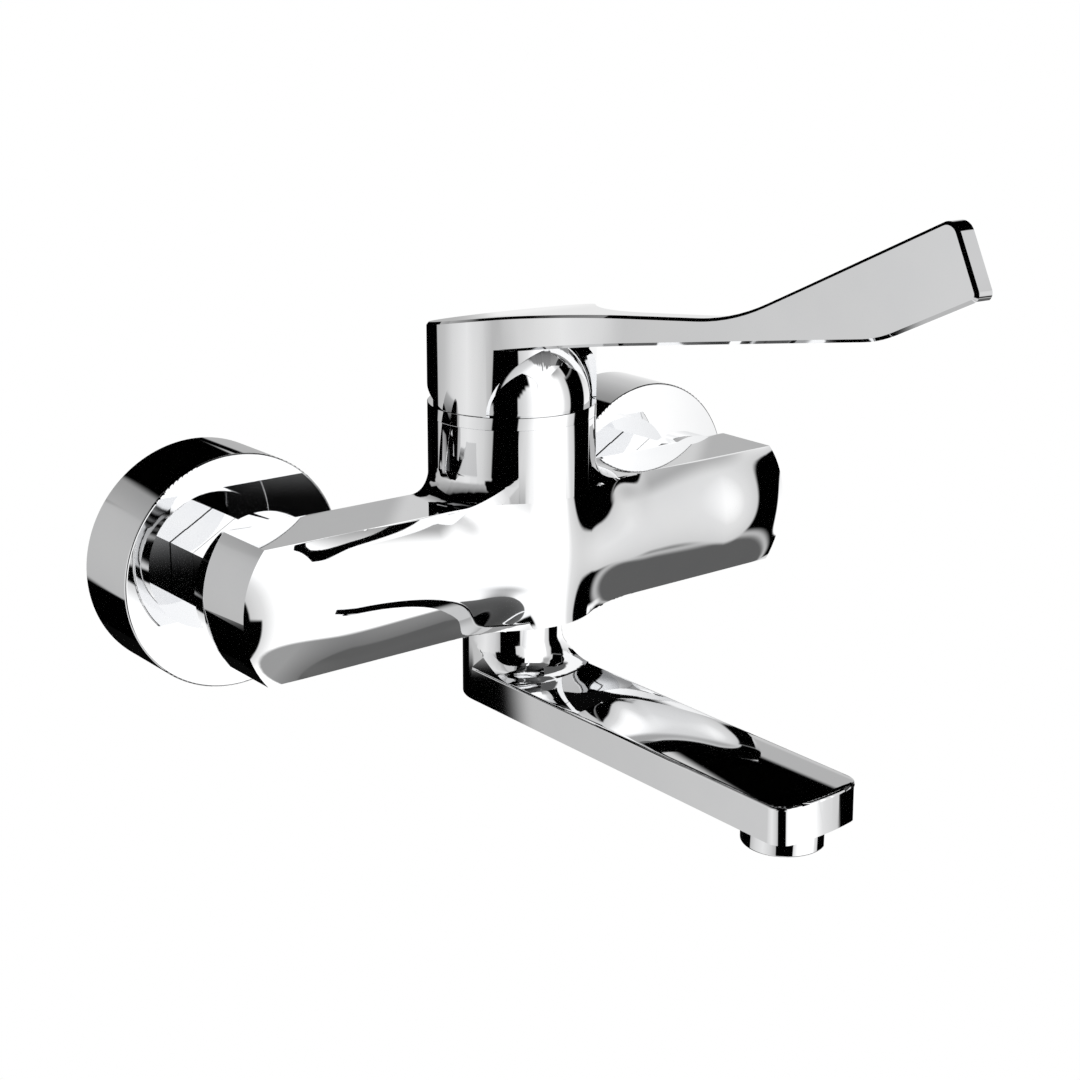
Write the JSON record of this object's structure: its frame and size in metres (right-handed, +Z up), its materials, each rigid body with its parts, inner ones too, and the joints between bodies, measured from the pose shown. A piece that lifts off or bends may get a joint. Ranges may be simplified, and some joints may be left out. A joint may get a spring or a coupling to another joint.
{
  "type": "wall-mounted basin mixer",
  "caption": "Wall-mounted single-lever basin mixer with a flat swivel spout, a hooded lever with a slim raised paddle, and round wall flanges",
  "frame": {"origin": "on the wall plane, midway between the two inlets", "axes": "+X to the right, +Y into the wall, +Z up"},
  "size_m": [0.2158, 0.2308, 0.1614],
  "materials": {
    "chrome": "polished",
    "brass": "machined",
    "steel": "machined",
    "rubber": "matte",
    "ceramic": "lapped",
    "grey_plastic": "moulded"
  },
  "bodies": {
    "fixed": {"mixer_body": "chrome", "cartridge_base": "grey_plastic", "cartridge_base_seals": "rubber", "fixed_ceramic_disc": "ceramic", "cartridge_housing": "grey_plastic", "cartridge_nut": "brass", "collar_ring": "chrome", "dome_cover": "chrome", "spout_stop_screw": "steel", "wall_flange_left": "chrome", "wall_union_left": "brass", "union_nut_left": "chrome", "inlet_tail_left": "brass", "inlet_seal_left": "rubber", "inlet_strainer_left": "steel", "wall_flange_right": "chrome", "wall_union_right": "brass", "union_nut_right": "chrome", "inlet_tail_right": "brass", "inlet_seal_right": "rubber", "inlet_strainer_right": "steel"},
    "turner": {"turning_sleeve": "grey_plastic", "pivot_pin": "steel"},
    "handle": {"lever": "chrome", "spindle": "brass", "lever_grub_screw": "steel", "screw_cap": "chrome"},
    "slider": {"moving_ceramic_disc": "ceramic", "disc_driver": "grey_plastic"},
    "swivel_spout": {"spout": "chrome", "spout_bearing_ring": "grey_plastic", "spout_o_rings": "rubber", "aerator_housing": "chrome", "aerator_insert": "grey_plastic", "aerator_seal": "rubber"}
  },
  "joints": [
    {"name": "temperature_turn", "type": "hinge", "parent": "fixed", "child": "turner", "pos_m": [0, -0.0485, 0.043], "axis": [0, 0, 1], "range_deg": [-50, 50]},
    {"name": "flow_lift", "type": "hinge", "parent": "turner", "child": "handle", "pos_m": [0, -0.0485, 0.043], "axis": [-1, 0, 0], "range_deg": [0, 20]},
    {"name": "disc_slide", "type": "slide", "parent": "turner", "child": "slider", "axis": [0, -1, 0], "range_m": [0, 0.00691]},
    {"name": "spout_swing", "type": "hinge", "parent": "fixed", "child": "swivel_spout", "pos_m": [0, -0.0485, -0.01], "axis": [0, 0, 1], "range_deg": [-60, 60]}
  ],
  "couplings": [
    {"joint": "disc_slide", "follows": "flow_lift", "m_per_rad": 0.0198}
  ]
}
